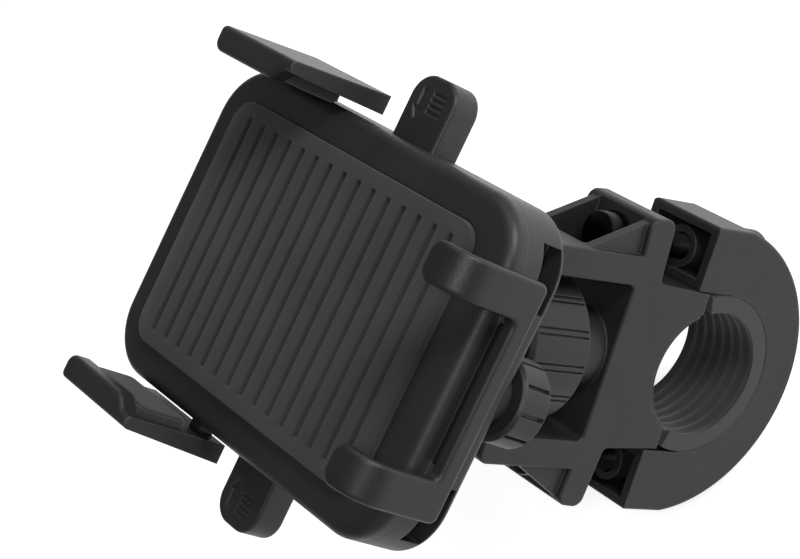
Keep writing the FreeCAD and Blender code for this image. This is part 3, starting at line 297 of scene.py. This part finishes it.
def bevelled(piece, width, angle=35, segments=2):
    """Round the sharp edges with an applied bevel and shade the piece smooth."""
    bpy.ops.object.mode_set(mode="OBJECT")
    soft = piece.modifiers.new("soft_edges", "BEVEL")
    soft.width = width
    soft.segments = segments
    soft.limit_method = "ANGLE"
    soft.angle_limit = math.radians(angle)
    choose(piece)
    bpy.ops.object.modifier_apply(modifier="soft_edges")
    bpy.ops.object.shade_smooth_by_angle(angle=math.radians(40))


def in_grip_groove(at, point):
    """Two points in every four along the inner edge lie in a groove, and none at its ends."""
    on_inner_edge = abs(at.z - BAR_RADIUS) < SAME_PLACE
    off_the_ends = abs(at.x) < LINER_HALF - 1e-4
    step = round((at.x + LINER_HALF) / (2 * LINER_HALF / GRIP_STEPS))
    return on_inner_edge and off_the_ends and step % 4 in (2, 3)


def liner(name, node, body, outer, rib, half_angle, towards_ball):
    """A grooved half-ring: its section is drawn on a plane through the bar and spun round it."""
    piece = start_plane(name, (-LINER_HALF, 0, BAR_RADIUS), (LINER_HALF, 0, outer))
    pick(piece, "edge", lambda at, e: abs(at.z - BAR_RADIUS) < SAME_PLACE)
    bpy.ops.mesh.subdivide(number_cuts=GRIP_STEPS - 1)
    pick(piece, "vert", in_grip_groove)
    bpy.ops.transform.translate(value=(0, 0, GRIP_DEPTH))
    if rib:
        pick(piece, "edge", lambda at, e: abs(at.z - outer) < SAME_PLACE)
        bpy.ops.mesh.extrude_region_move(TRANSFORM_OT_translate={"value": (0, 0, rib - outer)})
        bpy.ops.transform.resize(value=(RIB_HALF / LINER_HALF, 1, 1))
    bpy.ops.mesh.select_all(action="SELECT")
    lean = CLAMP_TILT + (0 if towards_ball else math.pi)
    bpy.ops.transform.rotate(value=lean - half_angle, orient_axis="X", center_override=(0, 0, 0))
    bpy.ops.mesh.select_all(action="SELECT")
    bpy.ops.mesh.spin(steps=64, angle=2 * half_angle, center=(0, 0, 0), axis=(1, 0, 0))
    bpy.ops.mesh.select_all(action="SELECT")
    bpy.ops.mesh.remove_doubles(threshold=1e-7)
    bpy.ops.mesh.normals_make_consistent(inside=False)
    bevelled(piece, 0.00012, angle=50, segments=1)
    piece.data.materials.append(liner_rubber)
    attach(piece, body)
    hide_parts(node)


liner("base_liner_ring", "base_liner", "clamp_base", BASE_LINER_OUTER, RIB_OUTER,
      BASE_LINER_REACH, True)
liner("cap_liner_ring", "cap_liner", "clamp_cap", CAP_LINER_OUTER, None, CAP_LINER_REACH, False)


# ------------------------------------------------------------------ clamp bolts
# Two M5 socket-head screws of blackened steel that pull the clamp's halves together. The
# thread is rolled, the head is turned with a bevelled rim, and the hexagon is punched in it.

def steel(name, colour, roughness):
    """Plated or blackened steel: a fine-grained skin with handling blotches."""
    blotch = 0.15
    paint = bpy.data.materials.new(name)
    paint.use_nodes = True
    tree = paint.node_tree
    shader = tree.nodes["Principled BSDF"]
    shader.inputs["Metallic"].default_value = 1.0
    place = tree.nodes.new("ShaderNodeTexCoord")
    marks = tree.nodes.new("ShaderNodeTexNoise")
    marks.inputs["Scale"].default_value = 1600.0
    marks.inputs["Detail"].default_value = 5.0
    link(tree, place, "Object", marks, "Vector")
    cloud = tree.nodes.new("ShaderNodeTexNoise")
    cloud.inputs["Scale"].default_value = 260.0
    cloud.inputs["Detail"].default_value = 4.0
    link(tree, place, "Object", cloud, "Vector")
    tone = tree.nodes.new("ShaderNodeValToRGB")
    tone.color_ramp.elements[0].position = 0.32
    tone.color_ramp.elements[0].color = [(1 - blotch) * c for c in colour] + [1]
    tone.color_ramp.elements[1].position = 0.72
    tone.color_ramp.elements[1].color = [(1 + blotch) * c for c in colour] + [1]
    link(tree, cloud, "Fac", tone, "Fac")
    link(tree, tone, "Color", shader, "Base Color")
    sheen = tree.nodes.new("ShaderNodeMapRange")
    sheen.inputs["To Min"].default_value = roughness - 0.10
    sheen.inputs["To Max"].default_value = roughness + 0.12
    link(tree, cloud, "Fac", sheen, "Value")
    link(tree, sheen, "Result", shader, "Roughness")
    relief = tree.nodes.new("ShaderNodeBump")
    relief.inputs["Strength"].default_value = 0.4
    relief.inputs["Distance"].default_value = 0.000012
    link(tree, marks, "Fac", relief, "Height")
    link(tree, relief, "Normal", shader, "Normal")
    return paint


black_oxide = steel("black_oxide", (0.012, 0.012, 0.013), 0.40)
BOLT_Y = 0.0224
BOLT_END = -0.0124
THREAD_END = 0.0140
HEAD_LOW = 0.0273
HEAD_HIGH = 0.0307
THREAD_PITCH = 0.0008
BOLT_CREST = 0.00249
BOLT_ROOT = 0.00212
THREAD_SINK = 0.0001
POINT_RADIUS = 0.0015
HEAD_RADIUS = 0.00425
SOCKET_RADIUS = 0.0023
SOCKET_DEPTH = 0.002
SOCKET_CHAMFER = 0.00015


def ring_up(radius, z):
    """Extrude the selected loop to the next radius and height of a turned piece."""
    bpy.ops.mesh.extrude_region_move(TRANSFORM_OT_translate={"value": (0, 0, 0)})
    mesh = bmesh.from_edit_mesh(bpy.context.object.data)
    for point in mesh.verts:
        if point.select:
            reach = math.hypot(point.co.x, point.co.y)
            point.co.x *= radius / reach
            point.co.y *= radius / reach
            point.co.z = z
    bmesh.update_edit_mesh(bpy.context.object.data)


# thread: one ridge with a narrow flat crest, sunk a little in the shank and wound up it
bpy.ops.object.select_all(action="DESELECT")
bpy.ops.mesh.primitive_plane_add(size=1.0, location=(0, 0, 0))
thread = bpy.context.object
thread.name = "bolt_thread"
for point, spot in zip(thread.data.vertices, (
        (BOLT_ROOT - THREAD_SINK, 0, BOLT_END + 0.0002), (BOLT_CREST, 0, BOLT_END + 0.00052),
        (BOLT_ROOT - THREAD_SINK, 0, BOLT_END + 0.00095), (BOLT_CREST, 0, BOLT_END + 0.00062))):
    point.co = spot
winding = thread.modifiers.new("winding", "SCREW")
winding.axis = "Z"
winding.angle = math.tau
winding.screw_offset = THREAD_PITCH
winding.iterations = int((THREAD_END - BOLT_END) / THREAD_PITCH) - 1
winding.steps = 20
winding.render_steps = 20
winding.use_merge_vertices = False
bpy.ops.object.modifier_apply(modifier="winding")
bpy.ops.object.mode_set(mode="EDIT")
bpy.ops.mesh.select_all(action="SELECT")
bpy.ops.mesh.fill_holes(sides=6)
bpy.ops.mesh.normals_make_consistent(inside=False)
bpy.ops.object.mode_set(mode="OBJECT")

# shank and head, turned from the tip upwards, then the six-sided socket
bpy.ops.object.select_all(action="DESELECT")
bpy.ops.mesh.primitive_circle_add(vertices=48, radius=POINT_RADIUS, fill_type="NGON",
                                  location=(0, 0, BOLT_END))
bolt = bpy.context.object
bolt.name = "clamp_bolt_upper"
bpy.ops.object.transform_apply(location=True)
bpy.ops.object.mode_set(mode="EDIT")
pick(bolt, "edge", lambda at, e: True)
for radius, z in ((BOLT_ROOT, BOLT_END + 0.0006), (BOLT_ROOT, THREAD_END),
                  (BOLT_CREST, THREAD_END + 0.0005), (BOLT_CREST, HEAD_LOW - 0.0002),
                  (BOLT_CREST + 0.0002, HEAD_LOW), (0.0039, HEAD_LOW),
                  (HEAD_RADIUS, HEAD_LOW + 0.00025), (HEAD_RADIUS, HEAD_HIGH - 0.00055),
                  (0.0041, HEAD_HIGH - 0.00018), (0.0037, HEAD_HIGH)):
    ring_up(radius, z)
bpy.ops.object.mode_set(mode="OBJECT")
bpy.ops.mesh.primitive_circle_add(vertices=6, radius=SOCKET_RADIUS, fill_type="NGON",
                                  location=(0, 0, HEAD_HIGH - SOCKET_DEPTH))
socket = bpy.context.object
bpy.ops.object.transform_apply(location=True)
bpy.ops.object.mode_set(mode="EDIT")
pick(socket, "edge", lambda at, e: True)
straight_wall = SOCKET_DEPTH - SOCKET_CHAMFER
bpy.ops.mesh.extrude_region_move(TRANSFORM_OT_translate={"value": (0, 0, straight_wall)})
bpy.ops.mesh.extrude_region_move(TRANSFORM_OT_translate={"value": (0, 0, SOCKET_CHAMFER)})
bpy.ops.transform.resize(value=(1.06, 1.06, 1))
bpy.ops.object.mode_set(mode="OBJECT")
choose(bolt)
socket.select_set(True)
bpy.ops.object.join()
bpy.ops.object.mode_set(mode="EDIT")
pick(bolt, "edge", lambda at, e: abs(at.z - HEAD_HIGH) < 1e-5 and e.is_boundary)
bpy.ops.mesh.bridge_edge_loops()
bpy.ops.mesh.select_all(action="SELECT")
bpy.ops.mesh.remove_doubles(threshold=1e-7)
bpy.ops.mesh.normals_make_consistent(inside=False)
bpy.ops.object.mode_set(mode="OBJECT")
choose(bolt)
thread.select_set(True)
bpy.ops.object.join()
bpy.ops.object.shade_smooth_by_angle(angle=math.radians(35))
bolt.data.materials.clear()
bolt.data.materials.append(black_oxide)
choose(bolt)
bpy.ops.object.duplicate(linked=False)
second_bolt = bpy.context.object
second_bolt.name = "clamp_bolt_lower"
for screw, y in ((bolt, -BOLT_Y), (second_bolt, BOLT_Y)):
    choose(screw)
    bpy.ops.object.mode_set(mode="EDIT")
    bpy.ops.mesh.select_all(action="SELECT")
    bpy.ops.transform.translate(value=(0, y, 0))
    bpy.ops.transform.rotate(value=CLAMP_TILT, orient_axis="X", center_override=(0, 0, 0))
    bpy.ops.object.mode_set(mode="OBJECT")
    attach(screw, "clamp_base")
    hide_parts("clamp_bolts")


# ------------------------------------------------------------------ washers and nuts
# Pressed steel washers under the bolt heads, blackened like the bolts, and six-sided nuts held
# in pockets of the cap, zinc plated with a dark passivation.

dark_zinc = steel("dark_zinc", (0.085, 0.085, 0.090), 0.38)
finish_nodes(black_oxide, "bolt_washers")
finish_nodes(dark_zinc, "clamp_nuts")


# ------------------------------------------------------------------ lock ring, ball and neck
# The ribbed ring is nylon and screws over the collet. The ball and its stem are one smooth,
# slightly waxy acetal moulding, and a small zinc screw and washer hold the swivel pin.

ring_nylon = moulded("ring_nylon", (0.0090, 0.0090, 0.0095), 0.43, 0.30, 0.028, rub_and_highlight=3.4)
stem_acetal = moulded("stem_acetal", (0.0100, 0.0100, 0.0105), 0.36, 0.80, 0.006, rub_and_highlight=1.3)
bright_zinc = steel("bright_zinc", (0.52, 0.53, 0.55), 0.30)
finish_nodes(ring_nylon, "lock_ring")
finish_nodes(stem_acetal, "ball", "neck")
finish_nodes(bright_zinc, "neck_washer", "neck_screw")


# ------------------------------------------------------------------ cradle casing
# Two trays of black ABS with a soft matt grain, joined from behind by four small screws. The
# seam runs round the side just under the front.

case_plastic = moulded("case_plastic", (0.0130, 0.0130, 0.0135), 0.43, 0.30, 0.030, rub_and_highlight=2.8)
finish_nodes(case_plastic, "rear_housing", "front_housing")
finish_nodes(bright_zinc, "housing_screws")


# ------------------------------------------------------------------ gear, racks, pawls and springs
# The arms' racks and their pinion keep the phone centred. The gear and the pawls are natural
# acetal, and the racks are the arms' dark plastic. The pin and the springs are drawn steel.

gear_acetal = moulded("gear_acetal", (0.55, 0.54, 0.50), 0.34, 0.90, 0.005, rub_and_highlight=1.1, specular=0.45)
rack_plastic = moulded("rack_plastic", (0.0120, 0.0120, 0.0125), 0.42, 0.50, 0.010, rub_and_highlight=1.6)
spring_wire = steel("spring_wire", (0.42, 0.42, 0.44), 0.28)
finish_nodes(gear_acetal, "pinion", "left_pawl", "right_pawl")
finish_nodes(rack_plastic, "left_rack", "right_rack")
finish_nodes(spring_wire, "pinion_pin", "opening_spring", "left_pawl_spring", "right_pawl_spring")


# ------------------------------------------------------------------ arms and release tabs
# Nylon mouldings that a hand touches all the time: the same grain as the casing, with
# their rounded edges painted brighter, partly as polish from use and partly as a painted
# highlight.

arm_plastic = moulded("arm_plastic", (0.0135, 0.0135, 0.0140), 0.40, 0.32, 0.030, rub_and_highlight=3.6)
finish_nodes(arm_plastic, "left_arm", "right_arm", "left_release_tab", "right_release_tab")


# ------------------------------------------------------------------ arm pads
# A strip of soft rubber glued inside each arm where it grips the phone. Its face is smooth and
# slightly crowned, and a shallow step runs round it where it left the mould.

def slab(name, low, high):
    """A plain block between two corners, ready for shaping in edit mode."""
    bpy.ops.object.select_all(action="DESELECT")
    centre = [(a + b) / 2 for a, b in zip(low, high)]
    size = [b - a for a, b in zip(low, high)]
    bpy.ops.mesh.primitive_cube_add(size=1.0, location=centre, scale=size)
    piece = bpy.context.object
    piece.name = name
    bpy.ops.object.transform_apply(location=True, rotation=False, scale=True)
    bpy.ops.object.mode_set(mode="EDIT")
    return piece


pad_rubber = soft_rubber("pad_rubber", (0.0105, 0.0105, 0.0105), 0.74)
STRIP_CORNER = 0.0018
STRIP_STEP = 0.0003
STRIP_BORDER = 0.0004
CROWN_ROOM = 0.0003
strip_low, strip_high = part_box("left_arm_pad")
strip_base = (strip_low[0], strip_low[1] + STRIP_STEP + CROWN_ROOM, strip_low[2])
strip = slab("left_arm_pad_strip", strip_base, strip_high)
strip_ends = ((strip_low[0], strip_low[2]), (strip_low[0], strip_high[2]),
              (strip_high[0], strip_low[2]), (strip_high[0], strip_high[2]))
pick(strip, "edge", lambda at, e: any(abs(at.x - x) + abs(at.z - z) < 1e-5
                                      for x, z in strip_ends))
bpy.ops.mesh.bevel(offset=STRIP_CORNER, segments=6)
pick(strip, "face", lambda at, f: f.normal.y < -0.9)
bpy.ops.mesh.inset(thickness=STRIP_BORDER, depth=0)
bpy.ops.mesh.extrude_region_move(TRANSFORM_OT_translate={"value": (0, -STRIP_STEP, 0)})
for crown_width, crown_rise in ((0.0004, 0.00016), (0.0005, 0.0001)):
    bpy.ops.mesh.inset(thickness=crown_width, depth=0)
    bpy.ops.transform.translate(value=(0, -crown_rise, 0))
bevelled(strip, 0.00010, angle=50, segments=2)
strip.data.materials.append(pad_rubber)
bpy.ops.object.duplicate(linked=False)
other_strip = bpy.context.object
other_strip.name = "right_arm_pad_strip"
right_low, right_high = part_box("right_arm_pad")
mirror_y = (strip_low[1] + right_high[1]) / 2
bpy.ops.object.mode_set(mode="EDIT")
bpy.ops.mesh.select_all(action="SELECT")
bpy.ops.transform.resize(value=(1, -1, 1), center_override=(0, mirror_y, 0))
bpy.ops.mesh.normals_make_consistent(inside=False)
bpy.ops.object.mode_set(mode="OBJECT")
for piece, arm_body, node in ((strip, "left_arm", "left_arm_pad"),
                              (other_strip, "right_arm", "right_arm_pad")):
    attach(piece, arm_body)
    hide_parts(node)


# ------------------------------------------------------------------ back pad
# The sheet of rubber that the phone lies on, pressed into the casing's front. It has rounded
# corners, a plain border and cross grooves that let it grip.

PAD_BORDER = 0.0028
PAD_CORNER = 0.0045
GROOVE_PITCH = 0.0044
GROOVE_WIDTH = 0.0012
GROOVE_DEPTH = 0.0008
GROOVE_MARGIN = 0.0016
pad_low, pad_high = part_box("back_pad")
back_sheet = slab("back_pad_sheet", pad_low, pad_high)
pad_middle = (pad_low[2] + pad_high[2]) / 2
pick(back_sheet, "edge", lambda at, e: abs(at.z - pad_middle) < SAME_PLACE)
bpy.ops.mesh.bevel(offset=PAD_CORNER, segments=8)
pick(back_sheet, "face", lambda at, f: abs(at.z - pad_high[2]) < SAME_PLACE)
bpy.ops.mesh.inset(thickness=PAD_BORDER, depth=0)


def sheet_field(at, face):
    """True for the faces of the sheet's top that lie inside its plain border."""
    return (abs(at.z - pad_high[2]) < SAME_PLACE
            and pad_low[0] + PAD_BORDER < at.x < pad_high[0] - PAD_BORDER
            and pad_low[1] + PAD_BORDER < at.y < pad_high[1] - PAD_BORDER)


groove_start = pad_low[0] + PAD_BORDER + GROOVE_MARGIN
last_groove = pad_high[0] - PAD_BORDER - GROOVE_MARGIN - GROOVE_WIDTH
groove_count = int((last_groove - groove_start) / GROOVE_PITCH) + 1
for number in range(groove_count):
    groove_x = groove_start + number * GROOVE_PITCH
    for edge_x in (groove_x, groove_x + GROOVE_WIDTH):
        pick(back_sheet, "face", sheet_field)
        bpy.ops.mesh.bisect(plane_co=(edge_x, 0, 0), plane_no=(1, 0, 0))
pick(back_sheet, "face", lambda at, f: sheet_field(at, f) and at.x > groove_start
     and (at.x - groove_start) % GROOVE_PITCH < GROOVE_WIDTH)
bpy.ops.mesh.extrude_region_move(TRANSFORM_OT_translate={"value": (0, 0, -GROOVE_DEPTH)})
bevelled(back_sheet, 0.00028, angle=40, segments=2)
back_sheet.data.materials.append(pad_rubber)
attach(back_sheet, "cradle")
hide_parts("back_pad")


# ------------------------------------------------------------------ foot, nut and knob
# The foot is a glass-filled nylon plate with two hooked fingers. A grooved knob with a steel
# screw, running in a plate nut, locks it at the length of the phone.

foot_nylon = moulded("foot_nylon", (0.0095, 0.0095, 0.0100), 0.40, 0.32, 0.032, rub_and_highlight=3.4)
knob_nylon = moulded("knob_nylon", (0.0090, 0.0090, 0.0095), 0.43, 0.28, 0.026, rub_and_highlight=3.4)
finish_nodes(foot_nylon, "foot_bracket")
finish_nodes(knob_nylon, "foot_knob")
finish_nodes(bright_zinc, "foot_nut", "foot_knob_screw")
